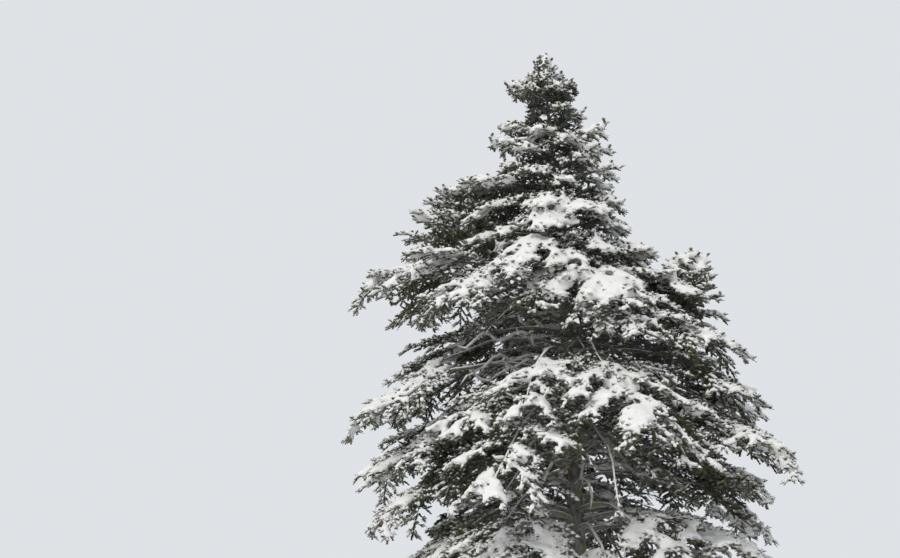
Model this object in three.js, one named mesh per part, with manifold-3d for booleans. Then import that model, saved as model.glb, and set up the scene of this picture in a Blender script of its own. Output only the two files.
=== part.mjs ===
// A whole fir tree under snow, rooted in the ground, in millimetres with +Z up.
// The origin is the middle of the flat cut under the trunk. The tree is seen along +Y, so -X is its
// left side and +X its right. An old open-grown fir: a narrow spire on a wide lower crown, with two
// side limbs that have turned up into leaders of their own, one on each side.
//
// Every bough is a curve from the trunk to its tip. Limbs leave it by turns to the left and right,
// and each limb is a slim core, as thick as its needles make it, with a row of pointed twigs down
// both sides. The foliage of one bough is one solid. The boughs that show bare near the trunk have
// that bare length as a solid of its own, and the deepest snow lies on the foliage in pads.

import * as THREE from "three";
import { mergeVertices } from "three/addons/utils/BufferGeometryUtils.js";
import Module from "manifold-3d";

const wasm = await Module();
wasm.setup();

// Driving dimensions

const TREE_HEIGHT = 13200;
const TOP_SHOOT = 620; // the leading shoot above the trunk's top
const TOP_LEAN = -500; // how far the top stands to the left of the foot
const GIRTH_RADIUS = 200; // at breast height
const BREAST_HEIGHT = 1300;
const TOP_RADIUS = 16;
const TAPER_POWER = 0.9; // the trunk thins by this power of the height that is left
const RING_POWER = 1.7; // and has closer rings where its roots flare
const FLARE = 115; // what the roots add to the radius at the ground
const FLARE_HEIGHT = 380;
const ROOT_RIDGES = 5;
const RIDGE_SHARE = 0.35; // how much of the flare is in its ridges
const CLEAR = 0.3; // between solids that touch
const ROOM = 6; // the least room between the twigs of one bough and another bough

// One row for each tier of boughs, from the top down: its height on the trunk, its turn in degrees,
// how far its tips stand above it, and the reach of its boughs on each side, with 0 where none
// grows. The seventh is the one long bough that makes the crown's left shoulder.
const TIERS = [
  { height: 12050, turn: 20, rise: 330, left: 900, right: 620, front: 650, back: 0 },
  { height: 11420, turn: -24, rise: 280, left: 1150, right: 760, front: 0, back: 820 },
  { height: 10800, turn: 22, rise: 260, left: 1400, right: 1380, front: 1200, back: 1250 },
  { height: 10100, turn: -22, rise: 250, left: 2400, right: 1400, front: 1500, back: 0 },
  { height: 9350, turn: 25, rise: 0, left: 0, right: 1600, front: 1900, back: 1950 },
  { height: 8600, turn: -22, rise: -250, left: 0, right: 2050, front: 2450, back: 2500 },
  { height: 8100, turn: 14, rise: -350, left: 4100, right: 0, front: 0, back: 0 },
  { height: 7750, turn: 24, rise: -350, left: 0, right: 3300, front: 3000, back: 3250 },
  { height: 6950, turn: -22, rise: -600, left: 3750, right: 3500, front: 0, back: 3900 },
  { height: 6000, turn: 22, rise: -850, left: 4250, right: 4150, front: 4000, back: 4150 },
  { height: 5150, turn: -20, rise: -950, left: 4600, right: 4300, front: 4250, back: 0 },
  { height: 4150, turn: 24, rise: -1050, left: 4100, right: 4150, front: 0, back: 4250 },
  { height: 3100, turn: -22, rise: -900, left: 3750, right: 3850, front: 3950, back: 3850 },
];
const SIDES = { right: 0, back: 90, left: 180, front: 270 }; // degrees round from +X
const BARE_TIERS = [7, 8, 9, 10, 11]; // tiers whose left and right boughs show bare near the trunk
const BARE_SHARE = 0.4; // of such a bough's length
const ARCH_SHARE = 0.08; // a bough's rise at its middle, as a share of its length
const FRONT_DROP = 0.27; // how much further boughs to the front and back drop, as the same share
const SWAY_SHARE = 0.03; // and its bend to the side
const BEND_POWER = 2.2; // boughs and limbs rise or sag by this power of the share of their length
const BOUGH_GIRTH = 0.012; // a bough's radius at its foot, as a share of its length
const BOUGH_TIP = 12; // and its radius at its tip
const FORK_SHARE = 0.5; // the thickest foot, as a share of the trunk's radius there

// The side leaders: the height where the limb leaves the trunk and its turn round from +X, then how
// far out and how high it bends up, ends and carries its longest limbs.
const LEADERS = [
  { side: "left", from: 7350, turn: 152, elbow: [2100, 8450], top: [2680, 10400], spread: 2000 },
  { side: "right", from: 6700, turn: 2, elbow: [2200, 7300], top: [2750, 8600], spread: 1000 },
];
const LEADER_RADIUS = [75, 42]; // of the leader's limb at the trunk and at its elbow
const LEADER_LIMBS = 11;
const SPIRAL_TURN = 137.5; // degrees between one limb of a leader and the next
const SPIRAL_SPAN = [0.04, 0.84]; // shares of a leader's height between which its limbs leave it
const SPIRAL_RISE = [0.45, 1.1]; // a leader's limbs rise by this share of their length, foot to top
const SPIRAL_TAPER = 0.8; // what those limbs lose of their length on the way to the top
const SPIRAL_FADE = 1.2; // and the power of the share of the way by which they lose it
const SPIRAL_LUCK = [0.9, 1.1]; // the least and the most of its length that such a limb has
const TIP = { turn: 180, spread: 450, limbs: 6 }; // the leading shoot's limbs, as a leader's

const FOLIAGE_FROM = 0.3; // share of a bough's length where its limbs begin
const LIMB_STEP = 500; // between limbs along a bough
const LIMB_COUNTS = [4, 8]; // the fewest and the most limbs on one bough
const LIMB_SHARE = 0.46; // the longest limb, as a share of its bough
const LIMB_SHORTEST = 0.3; // the last limb before the tip, as a share of the first
const LIMB_FADE = 0.62; // the power by which limbs get shorter on the way there
const LIMB_LUCK = [0.88, 1.08]; // the least and the most of its length that a limb has
const LIMB_CURL = 0.08; // its bend to the side, as a share of its length
const LIMB_TURN = 56; // degrees between a limb and its bough
const TURN_LUCK = 5; // and how far that differs from limb to limb
const LIMB_LEVEL = 0.45; // of its bough's own slope, what a limb starts with
const LIMB_SAGS = [0.14, 0.42]; // by turns, a limb's sag at its tip, as a share of its length
const LIMB_TRIES = [1, 0.8, 0.62, 0.46]; // a limb without room is made shorter, or left out
const TWIG_STEP = 480; // between twigs along a limb
const TWIG_PAIRS = [2, 4]; // the fewest and the most pairs of twigs on one limb
const TWIG_TURN = 48; // degrees between a twig and its limb
const TWIG_SHARE = 0.4; // the longest twig, as a share of its limb
const TWIG_SAG = 0.35; // a twig's sag, as a share of its length
const TWIG_LUCK = [0.9, 1.2]; // the least and the most of its length that a twig has
const TIP_TWIG_SHARE = 0.09; // a twig near a bough's or leader's own tip, as a share of its length
const CORE_WIDTH = 34; // half the width and height of a limb with its needles
const CORE_HEIGHT = 28;
const CORE_TAPER = 0.55; // what a core, or its twigs, lose of their size on the way to its tip
const STEM_CORE = 38; // half the height of a bough's stem where it carries limbs
const STEM_WIDTH = 1.15; // a stem's half width, as a share of its half height
const TIP_TWIG_STEPS = 3; // how many of a stem's last steps carry twigs
const STEM_STEPS = 5; // of a leader's stem, and of a short bough's
const LONG_STEPS = 7; // of a bough's stem that reaches further than this
const LONG_BOUGH = 2500;
const SECTION = [[-1, -0.7], [0, 1], [1, -0.7]]; // a core's corners: left, top and right
const TWIG_SIDES = [-1, 1, 0]; // which way the twigs of each of its faces point, or 0 for none

// Snow pads: which bough carries one, the first and last ring of its stem that it covers, its half
// width and its depth.
const PADS = [
  { on: "tier03_right", rings: [2, 4], width: 210, depth: 130 },
  { on: "tier04_left", rings: [2, 4], width: 260, depth: 130 },
  { on: "tier06_front", rings: [2, 4], width: 520, depth: 200 },
  { on: "tier07_left", rings: [2, 6], width: 420, depth: 210 },
  { on: "tier08_front", rings: [3, 6], width: 480, depth: 200 },
  { on: "tier11_left", rings: [3, 6], width: 420, depth: 180 },
];
const PAD_LIFT = 0.13; // how far a pad's edges stand above its keel, as a share of its half width
const PAD_ARC = 5; // faces over a pad, from one edge to the other
const PAD_WIDTH_LUCK = [0.94, 1.06]; // how uneven its edges are
const PAD_DEPTH_LUCK = [0.85, 1.1]; // and its top

// Where the seeds of the parts that no tier carries begin
const LEADER_SEED = 300;
const TIP_SEED = 400;

const NEEDLES = new THREE.MeshStandardMaterial({ color: 0x232b22, roughness: 0.75, metalness: 0 });
const BARK = new THREE.MeshStandardMaterial({ color: 0x4b453e, roughness: 0.9, metalness: 0 });
const SNOW = new THREE.MeshStandardMaterial({ color: 0xe9ecee, roughness: 0.6, metalness: 0 });

// Helpers

const radians = THREE.MathUtils.degToRad;
const UP = new THREE.Vector3(0, 0, 1);

// A number from 0 to 1 that is always the same for the same two keys.
function chance(a, b) {
  const s = Math.sin(a * 127.1 + b * 311.7) * 43758.5453;
  return s - Math.floor(s);
}

// A number between two ends, that is always the same for the same two keys.
function between(low, high, a, b) {
  return low + (high - low) * chance(a, b);
}

function headingAt(turn) {
  return new THREE.Vector3(Math.cos(radians(turn)), Math.sin(radians(turn)), 0);
}

// A closed solid from a geometry: only its places are kept, and shared corners are merged.
function solidOf(geometry) {
  const bare = geometry.clone();
  bare.deleteAttribute("normal");
  bare.deleteAttribute("uv");
  const merged = mergeVertices(bare, 1e-3);
  return new wasm.Manifold(
    new wasm.Mesh({
      numProp: 3,
      vertProperties: new Float32Array(merged.attributes.position.array),
      triVerts: new Uint32Array(merged.index.array),
    }),
  );
}

function geometryOf(solid) {
  const mesh = solid.getMesh();
  return new THREE.BufferGeometry()
    .setAttribute("position", new THREE.BufferAttribute(mesh.vertProperties, 3))
    .setIndex(new THREE.BufferAttribute(mesh.triVerts, 1));
}

// A geometry from corners and faces, each face a list of corners anticlockwise from outside.
function geometryFrom(corners, faces) {
  const index = faces.flatMap((f) => f.slice(2).flatMap((_, i) => [f[0], f[i + 1], f[i + 2]]));
  return new THREE.BufferGeometry().setFromPoints(corners).setIndex(index);
}

// The largest body of a solid: a cut can leave loose scraps, which are dropped.
function withoutScraps(solid) {
  return solid.decompose().sort((a, b) => b.volume() - a.volume())[0];
}

// Trunk

const trunkTop = TREE_HEIGHT - TOP_SHOOT;

function trunkAxis(height) {
  return new THREE.Vector3(TOP_LEAN * (height / TREE_HEIGHT) ** 2, 0, height);
}

function trunkRadius(height) {
  const taper = (trunkTop - height) / (trunkTop - BREAST_HEIGHT);
  return TOP_RADIUS + (GIRTH_RADIUS - TOP_RADIUS) * taper ** TAPER_POWER;
}

// The root flare fades with height, and stands out in ridges round the foot.
function flareAt(height, angle) {
  const ridge = 1 - RIDGE_SHARE + RIDGE_SHARE * Math.cos(ROOT_RIDGES * angle);
  return FLARE * Math.exp(-height / FLARE_HEIGHT) * ridge;
}

function trunkSolid(grow) {
  const sides = 15;
  const rings = 11;
  const geometry = new THREE.CylinderGeometry(1, 1, 1, sides, rings);
  const place = geometry.attributes.position;
  for (let i = 0; i < place.count; i++) {
    const share = place.getY(i) + 0.5;
    const height = trunkTop * share ** RING_POWER;
    const [x, y] = [place.getX(i), -place.getZ(i)];
    const around = Math.hypot(x, y) > 0.5 ? 1 : 0; // a cap's middle stays on the axis
    const radius = around * (trunkRadius(height) + flareAt(height, Math.atan2(y, x)) + grow);
    const axis = trunkAxis(height);
    place.setXYZ(i, axis.x + x * radius, axis.y + y * radius, height);
  }
  return solidOf(geometry);
}

const trunk = trunkSolid(0);
const trunkCut = trunkSolid(CLEAR);

// Curves: each is a function of the share of its length, from 0 to 1

// A bough of a tier, which rises in an arch from the trunk and bends a little to one side.
function tierBough(row, number, side) {
  const reach = row[side];
  const heading = headingAt(SIDES[side] + row.turn);
  const across = new THREE.Vector3().crossVectors(UP, heading);
  const seed = number * 10 + SIDES[side] / 90;
  const sway = between(-SWAY_SHARE, SWAY_SHARE, seed, 1) * reach;
  const rise = row.rise - FRONT_DROP * reach * heading.y ** 2;
  const foot = trunkAxis(row.height);
  const footRadius = Math.min(BOUGH_GIRTH * reach + BOUGH_TIP, FORK_SHARE * trunkRadius(row.height));
  const isBare = BARE_TIERS.includes(number) && (side === "left" || side === "right");
  return {
    name: `tier${String(number).padStart(2, "0")}_${side}`,
    seed,
    reach,
    from: isBare ? BARE_SHARE : 0,
    radiusAt: (share) => BOUGH_TIP + (footRadius - BOUGH_TIP) * (1 - share),
    at: (share) =>
      foot
        .clone()
        .addScaledVector(heading, reach * share)
        .addScaledVector(across, sway * Math.sin(Math.PI * share))
        .addScaledVector(UP, rise * share ** BEND_POWER + 4 * ARCH_SHARE * reach * share * (1 - share)),
  };
}

function directionAt(curve, share) {
  const step = 0.02;
  return curve(Math.min(1, share + step)).sub(curve(Math.max(0, share - step))).normalize();
}

// A side leader: its limb bends up at the elbow, and its stem goes on from there to its top.
function sideLeader({ side, from, turn, elbow, top, spread }, number) {
  const outAt = ([out, height]) => trunkAxis(from).addScaledVector(headingAt(turn), out).setZ(height);
  const [out, height] = elbow;
  return {
    name: `${side}_leader`,
    seed: LEADER_SEED + number,
    spiral: { turn, spread, limbs: LEADER_LIMBS },
    at: (share) => outAt([out * share, from + (height - from) * share ** BEND_POWER]),
    top: outAt(top),
  };
}

// Limbs and sprays

// A round tapering limb along a curve, with flat ends square to it.
function limbSolid(curve, to, radiusAt) {
  const sides = 6;
  const rings = 4;
  const geometry = new THREE.CylinderGeometry(1, 1, 1, sides, rings);
  const place = geometry.attributes.position;
  for (let i = 0; i < place.count; i++) {
    const share = to * (place.getY(i) + 0.5);
    const along = directionAt(curve, share);
    const across = new THREE.Vector3().crossVectors(along, UP).normalize();
    const over = new THREE.Vector3().crossVectors(across, along);
    const point = curve(share)
      .addScaledVector(across, place.getX(i) * radiusAt(share))
      .addScaledVector(over, place.getZ(i) * radiusAt(share));
    place.setXYZ(i, point.x, point.y, point.z);
  }
  return solidOf(geometry);
}

// The way on along a spray's core at a ring, and to its right and over it. The first ring is square
// to the spray's start.
function frameAt({ rings, across, start }, i) {
  const along = i === 0 ? start : rings[i + 1].place.clone().sub(rings[i - 1].place).normalize();
  const right = across.clone().projectOnPlane(along).normalize();
  return { right, over: new THREE.Vector3().crossVectors(right, along) };
}

// A core along a list of rings, pointed at its end: a left, a right and a lower face. A ring has a
// place, half a width, half a height and the length of the twigs that follow it: there the left and
// right faces are drawn out into one pointed twig each.
function spraySolid(spray) {
  const { rings, across } = spray;
  const corners = [];
  const faces = [[2, 1, 0]];
  const last = rings.length - 1;
  for (let i = 0; i < last; i++) {
    const { right, over } = frameAt(spray, i);
    for (const [w, h] of SECTION) {
      corners.push(
        rings[i].place
          .clone()
          .addScaledVector(right, w * rings[i].width)
          .addScaledVector(over, h * rings[i].height),
      );
    }
  }
  const tip = corners.push(rings[last].place) - 1;
  for (let i = 0; i < last; i++) {
    TWIG_SIDES.forEach((sign, side) => {
      const [a, b] = [3 * i + side, 3 * i + ((side + 1) % 3)];
      const face = [a, b, b + 3, a + 3];
      if (i === last - 1) {
        faces.push([a, b, tip]);
      } else if (sign && rings[i].twig) {
        const end = corners.push(twigEnd(rings[i], rings[i + 1], across, sign)) - 1;
        face.forEach((corner, k) => faces.push([corner, face[(k + 1) % 4], end]));
      } else {
        faces.push(face);
      }
    });
  }
  return solidOf(geometryFrom(corners, faces));
}

function twigEnd({ place, width, twig }, next, across, sign) {
  const along = next.place.clone().sub(place).normalize();
  return place
    .clone()
    .lerp(next.place, 0.5)
    .addScaledVector(across, sign * (twig * Math.sin(radians(TWIG_TURN)) + width))
    .addScaledVector(along, twig * Math.cos(radians(TWIG_TURN)))
    .addScaledVector(UP, -TWIG_SAG * twig);
}

// A limb's spray: it leaves its root along heading, sags, and carries a pair of twigs a step.
function limbSpray(root, heading, length, sag, seed) {
  const steps = THREE.MathUtils.clamp(Math.round(length / TWIG_STEP), ...TWIG_PAIRS);
  const across = new THREE.Vector3().crossVectors(heading, UP).normalize();
  const curl = between(-LIMB_CURL, LIMB_CURL, seed, 5) * length;
  const rings = Array.from({ length: steps + 2 }, (_, i) => {
    const share = i / (steps + 1);
    return {
      place: root
        .clone()
        .addScaledVector(heading, length * share)
        .addScaledVector(across, curl * share ** 2)
        .addScaledVector(UP, -sag * length * share ** BEND_POWER),
      width: CORE_WIDTH * (1 - CORE_TAPER * share),
      height: CORE_HEIGHT * (1 - CORE_TAPER * share),
      twig: i && length * TWIG_SHARE * (1 - CORE_TAPER * share) * between(...TWIG_LUCK, seed, 20 + i),
    };
  });
  return { rings, across, start: heading };
}

// The stem of a bough's foliage, from the share where its bare length ends. Its tip carries twigs.
function boughStem({ at, from, reach, radiusAt, seed }) {
  const steps = reach > LONG_BOUGH ? LONG_STEPS : STEM_STEPS;
  const rings = Array.from({ length: steps + 1 }, (_, i) => {
    const share = from + ((1 - from) * i) / steps;
    const core = Math.max(radiusAt(share), share > FOLIAGE_FROM && share > from ? STEM_CORE : 0);
    return {
      place: at(share),
      width: core * STEM_WIDTH,
      height: core,
      twig: i >= steps - TIP_TWIG_STEPS && reach * TIP_TWIG_SHARE * between(...TWIG_LUCK, seed, 60 + i),
    };
  });
  const across = new THREE.Vector3().crossVectors(at(1).sub(at(0)), UP).normalize();
  return { rings, across, start: directionAt(at, from) };
}

// The limbs of a bough, by turns on its left and its right, shorter towards its tip. Each is a
// function that gives its spray at a share of its full length.
function boughLimbs({ at, from, reach, seed }) {
  const foliageFrom = Math.max(from + 0.04, FOLIAGE_FROM);
  const stretch = 1 - foliageFrom;
  const count = THREE.MathUtils.clamp(Math.round((reach * stretch) / LIMB_STEP) + 2, ...LIMB_COUNTS);
  return Array.from({ length: count }, (_, k) => {
    const share = foliageFrom + stretch * ((k + 0.3) / (count + 0.6));
    const side = (k + (seed % 2)) % 2 ? 1 : -1;
    const turn = side * radians(LIMB_TURN + between(-TURN_LUCK, TURN_LUCK, seed, 30 + k));
    const heading = directionAt(at, share).applyAxisAngle(UP, turn);
    heading.setZ(LIMB_LEVEL * heading.z).normalize();
    const fade = (1 - (share - foliageFrom) / stretch) ** LIMB_FADE;
    const full = reach * LIMB_SHARE * between(...LIMB_LUCK, seed, 40 + k);
    const length = full * THREE.MathUtils.lerp(LIMB_SHORTEST, 1, fade);
    const sag = LIMB_SAGS[(k >> 1) % 2];
    return (part) => limbSpray(at(share), heading, length * part, sag, seed * 10 + k);
  });
}

// An upright leader's stem, and its limbs all round it, longer towards its foot.
function leaderStem(foot, top, start) {
  const steps = STEM_STEPS;
  const axis = top.clone().sub(foot);
  const across = new THREE.Vector3(1, 0, 0).projectOnPlane(start).normalize();
  const rings = Array.from({ length: steps + 1 }, (_, i) => ({
    place: foot.clone().addScaledVector(axis, i / steps),
    width: CORE_WIDTH * (1 - (CORE_TAPER * i) / steps),
    height: CORE_WIDTH * (1 - (CORE_TAPER * i) / steps),
    twig: i >= steps - TIP_TWIG_STEPS && axis.length() * TIP_TWIG_SHARE,
  }));
  return { rings, across, start };
}

function leaderLimbs(foot, top, { turn, spread, limbs }, seed) {
  return Array.from({ length: limbs }, (_, k) => {
    const share = THREE.MathUtils.lerp(...SPIRAL_SPAN, k / limbs);
    const root = foot.clone().lerp(top, share);
    const rise = THREE.MathUtils.lerp(...SPIRAL_RISE, share);
    const heading = headingAt(turn + k * SPIRAL_TURN).setZ(rise).normalize();
    const length = spread * (1 - SPIRAL_TAPER * share ** SPIRAL_FADE) * between(...SPIRAL_LUCK, seed, k);
    return (part) => limbSpray(root, heading, length * part, LIMB_SAGS[0], seed + k);
  });
}

// Snow

// A pad lies along the ridge of a bough's stem, on a keel that the ridge carries: a lumpy dome,
// widest at its middle. It has a section at each ring of the stem and one half way to the next.
function snowPad({ rings: [first, last], width, depth }, stem, seed) {
  const keels = [];
  for (let i = first; i <= last; i++) {
    const { over } = frameAt(stem, i);
    keels.push(stem.rings[i].place.clone().addScaledVector(over, stem.rings[i].height));
    if (i > first) {
      keels.splice(-1, 0, keels.at(-2).clone().lerp(keels.at(-1), 0.5));
    }
  }
  const around = PAD_ARC + 2;
  const corners = keels.flatMap((keel, i) => {
    const share = i / (keels.length - 1);
    const swell = Math.sin(Math.PI * (0.05 + 0.9 * share)) ** 0.7;
    const seat = keel.clone().addScaledVector(UP, CLEAR);
    const arch = Array.from({ length: PAD_ARC + 1 }, (_, k) => {
      const angle = (Math.PI * k) / PAD_ARC;
      const side = -Math.cos(angle) * width * swell * between(...PAD_WIDTH_LUCK, seed + i, 80 + k);
      const crown = Math.sin(angle) ** 0.8 * depth * between(...PAD_DEPTH_LUCK, seed + i, 70);
      const lift = (PAD_LIFT * width + crown) * swell;
      return seat.clone().addScaledVector(stem.across, side).addScaledVector(UP, lift);
    });
    return [...arch, seat];
  });
  const lastStart = corners.length - around;
  const firstEnd = Array.from({ length: around }, (_, k) => around - 1 - k);
  const lastEnd = Array.from({ length: around }, (_, k) => lastStart + k);
  const faces = [firstEnd, lastEnd];
  for (let i = 0; i < lastStart; i++) {
    const next = (i + 1) % around ? i + 1 : i + 1 - around;
    faces.push([i, next, next + around, i + around]);
  }
  return solidOf(geometryFrom(corners, faces));
}

// Assembly

const tree = new THREE.Group();

function add(name, solid, material) {
  const mesh = new THREE.Mesh(geometryOf(withoutScraps(solid)), material);
  mesh.name = name;
  tree.add(mesh);
}

const boughs = TIERS.flatMap((row, i) =>
  Object.keys(SIDES)
    .filter((side) => row[side] > 0)
    .map((side) => tierBough(row, i + 1, side)),
);
const leaders = LEADERS.map(sideLeader);

// Every mass of foliage: its stem, and the limbs that it may have.
const masses = [
  ...boughs.map((bough) => ({ name: bough.name, stem: boughStem(bough), limbs: boughLimbs(bough) })),
  ...leaders.map(({ name, seed, spiral, at, top }) => ({
    name,
    stem: leaderStem(at(1), top, directionAt(at, 1)),
    limbs: leaderLimbs(at(1), top, spiral, seed),
  })),
  {
    name: "tip",
    stem: leaderStem(trunkAxis(trunkTop), trunkAxis(TREE_HEIGHT), UP),
    limbs: leaderLimbs(trunkAxis(trunkTop), trunkAxis(TREE_HEIGHT), TIP, TIP_SEED),
  },
];

// The bare limbs end a little short of the foliage that grows on from them.
const bareLimbs = new Map();
for (const bough of boughs.filter(({ from }) => from > 0)) {
  const end = bough.from - CLEAR / bough.reach;
  bareLimbs.set(bough.name, limbSolid(bough.at, end, bough.radiusAt).subtract(trunkCut));
}
for (const { name, at } of leaders) {
  const radiusAt = (share) => THREE.MathUtils.lerp(...LEADER_RADIUS, share);
  const end = 1 - CLEAR / at(0).distanceTo(at(1));
  bareLimbs.set(name, limbSolid(at, end, radiusAt).subtract(trunkCut));
}

const pads = PADS.map((pad, number) => {
  const { stem } = masses.find(({ name }) => name === pad.on);
  return { name: `${pad.on}_snow`, solid: snowPad(pad, stem, number) };
});

// Bare limbs, snow and stems are placed first. Then each limb of foliage takes the longest form that
// keeps clear of them and of the limbs of the other masses, or is left out.
const placed = [...bareLimbs].map(([name, solid]) => ({ name: `${name}_bough`, solid }));
placed.push(...pads);
for (const { name, stem } of masses) {
  placed.push({ name, solid: spraySolid(stem) });
}
for (const { name, limbs } of masses) {
  const others = placed.filter((other) => other.name !== name);
  for (const limb of limbs) {
    const solid = LIMB_TRIES.map((part) => spraySolid(limb(part))).find((tried) =>
      others.every((other) => tried.minGap(other.solid, ROOM) >= ROOM),
    );
    if (solid) {
      placed.push({ name, solid });
    }
  }
}

add("trunk", trunk, BARK);
for (const [name, solid] of bareLimbs) {
  add(`${name}_bough`, solid, BARK);
}
for (const { name } of masses) {
  const parts = placed.filter((part) => part.name === name).map(({ solid }) => solid);
  add(`${name}_foliage`, wasm.Manifold.union(parts).subtract(trunkCut), NEEDLES);
}
for (const { name, solid } of pads) {
  add(name, solid, SNOW);
}

export default tree;
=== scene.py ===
"""A whole fir tree under snow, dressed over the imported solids, in metres with +Z up.

It grows by the same seeded rule as its solids: boughs from the trunk, limbs from the boughs and
twigs from the limbs. Here each bough has sisters beside it, the limbs stand in pairs, and the twigs
carry on into shoots with needles. Snow lies on what is open to the sky.
"""

import itertools
import math

import bpy
import numpy as np
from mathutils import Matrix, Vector, noise


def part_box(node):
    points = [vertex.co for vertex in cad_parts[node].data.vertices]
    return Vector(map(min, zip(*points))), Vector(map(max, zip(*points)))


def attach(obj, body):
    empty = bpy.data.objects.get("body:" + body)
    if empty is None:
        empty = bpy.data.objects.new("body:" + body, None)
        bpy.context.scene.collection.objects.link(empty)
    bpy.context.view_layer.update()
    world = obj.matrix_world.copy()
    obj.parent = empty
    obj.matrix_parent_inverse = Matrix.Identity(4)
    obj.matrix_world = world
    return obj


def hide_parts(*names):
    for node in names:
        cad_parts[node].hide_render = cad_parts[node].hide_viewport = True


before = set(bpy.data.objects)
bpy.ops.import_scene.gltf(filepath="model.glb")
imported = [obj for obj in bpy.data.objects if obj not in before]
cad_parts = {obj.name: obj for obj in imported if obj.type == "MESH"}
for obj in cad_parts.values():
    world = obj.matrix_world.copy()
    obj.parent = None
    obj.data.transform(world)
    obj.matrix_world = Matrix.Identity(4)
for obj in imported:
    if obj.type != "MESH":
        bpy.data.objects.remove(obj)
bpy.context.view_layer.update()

# Driving dimensions, the same as the solids'

TREE_HEIGHT = 13.2
TOP_SHOOT = 0.62
TOP_LEAN = -0.5
GIRTH_RADIUS = 0.2
BREAST_HEIGHT = 1.3
TOP_RADIUS = 0.016
TAPER_POWER = 0.9
FLARE = 0.115
FLARE_HEIGHT = 0.38
ROOT_RIDGES = 5
RIDGE_SHARE = 0.35
TRUNK_TOP = TREE_HEIGHT - TOP_SHOOT

# Height on the trunk, turn in degrees, rise of the tips, and reach to the left, right, front, back
TIERS = [
    (12.05, 20, 0.33, 0.9, 0.62, 0.65, 0),
    (11.42, -24, 0.28, 1.15, 0.76, 0, 0.82),
    (10.8, 22, 0.26, 1.4, 1.38, 1.2, 1.25),
    (10.1, -22, 0.25, 2.4, 1.4, 1.5, 0),
    (9.35, 25, 0, 0, 1.6, 1.9, 1.95),
    (8.6, -22, -0.25, 0, 2.05, 2.45, 2.5),
    (8.1, 14, -0.35, 4.1, 0, 0, 0),
    (7.75, 24, -0.35, 0, 3.3, 3.0, 3.25),
    (6.95, -22, -0.6, 3.75, 3.5, 0, 3.9),
    (6.0, 22, -0.85, 4.25, 4.15, 4.0, 4.15),
    (5.15, -20, -0.95, 4.6, 4.3, 4.25, 0),
    (4.15, 24, -1.05, 4.1, 4.15, 0, 4.25),
    (3.1, -22, -0.9, 3.75, 3.85, 3.95, 3.85),
]
# Heading and seed step of each side
SIDES = {"left": (180, 2), "right": (0, 0), "front": (270, 3), "back": (90, 1)}
BARE_TIERS = (7, 8, 9, 10, 11)  # counted from the top; their side boughs are bare near the trunk
BARE_SHARE = 0.4
ARCH_SHARE = 0.08  # how high a bough arches in its middle, as a share of its reach
BEND_POWER = 2.2  # a bough bends more towards its tip
FRONT_DROP = 0.27  # how much further boughs to the front and back drop, as a share of their reach
SWAY_SHARE = 0.03
BOUGH_GIRTH = 0.012  # what its radius gains for every metre of reach
BOUGH_TIP = 0.012
FORK_SHARE = 0.5  # its radius at most, as a share of the trunk's

# The side leaders, left and right: height on the trunk, turn, elbow and top (each out and height),
# and spread
LEADERS = [
    (7.35, 152, (2.1, 8.45), (2.68, 10.4), 2.0),
    (6.7, 2, (2.2, 7.3), (2.75, 8.6), 1.0),
]
LEADER_RADIUS = (0.075, 0.042)
LEADER_SEED = 300
TIP_SEED = 400
TIP_TURN = 180
SPIRAL_TURN = 137.5  # from one limb to the next round an upright stem, or fill bough
SPIRAL_SPAN = (0.04, 0.84)
SPIRAL_RISE = (0.45, 1.1)
SPIRAL_TAPER = 0.8
SPIRAL_FADE = 1.2
SPIRAL_LUCK = (0.9, 1.1)

FOLIAGE_FROM = 0.3  # the share of a bough where its limbs begin
LIMB_STEP = 0.5
LIMB_EXTRA = 2  # limbs on a side beside those that the steps give
LIMB_COUNTS = (4, 8)
# In steps: where the first one stands, how much further out the one across stands, and room over
LIMB_SEATS = (0.3, 0.45, 0.6)
TWIG_SEATS = (0.75, 0.4, 0.9)
LIMB_SHARE = 0.46
LIMB_SHORTEST = 0.3
LIMB_FADE = 0.62
LIMB_LUCK = (0.88, 1.08)
LIMB_TURN = 56
TURN_LUCK = 5
LIMB_LEVEL = 0.45  # of the bough's own slope, what a limb starts with
LIMB_SAGS = np.array([0.14, 0.42])
SAG_LUCK = (0.7, 1.25)
LIMB_CURL = 0.08
TWIG_TURN = 48
TWIG_SHARE = 0.4
TWIG_SAG = 0.35
CORE_TAPER = 0.55

# What only this script has

TRUNK_SIDES = 72
TRUNK_RINGS = 230
RING_POWER = 1.3  # the rings lie closer towards the foot
BARK_DEPTH = 0.012  # of the furrows between the plates
BARK_PLATE = (0.09, 0.09, 0.22)  # a plate's width both ways, and its height
FURROW_WIDTH = 0.06  # how far from the middle of the plates' noise the furrows reach
BARK_FLAKE = 0.35  # the size of the flakes on a plate, as a share of it
FLAKE_DEPTH = 0.5  # how deep they lie, as a share of the furrows
CROOK = 0.012  # how far every curve wavers on its way, as a share of its length
CROOK_TURNS = (2.3, 3.1)  # sideways and up and down
TIP_RADIUS = 0.008
LEAFY_TOP = 0.1  # the share where limbs begin on the highest boughs and on short ones
LEAFY_HEIGHTS = (8.8, 11)
LEAFY_GAP = 0.04  # how far beyond a bare length they begin
# Dark hollows in the crown, where the twigs have died: middle and half sizes
HOLLOWS = [
    ((-1.35, -0.9, 6.25), (1.25, 1.7, 0.62)),
    ((0.2, -1.9, 3.5), (0.9, 2.3, 0.95)),
]

# Each bough's sisters: turn from it in degrees, how far up in tiers, share of its reach
SISTERS = [(0, 0, 1), (34, -0.36, 0.84), (-36, 0.34, 0.88)]
SISTER_TILT = (-0.1, 0.07)  # how much lower or higher their tips are, as a share of the reach
SISTER_SEED = 1000
FILL_STEP = 0.16  # height between the short inner boughs that fill the crown
FILL_GAP = 0.1  # how far below the trunk's top they end
FILL_SHARE = (0.35, 0.72)  # their reach, as a share of the crown's
FILL_DROP = -0.1
FILL_SEED = 5000
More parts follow.
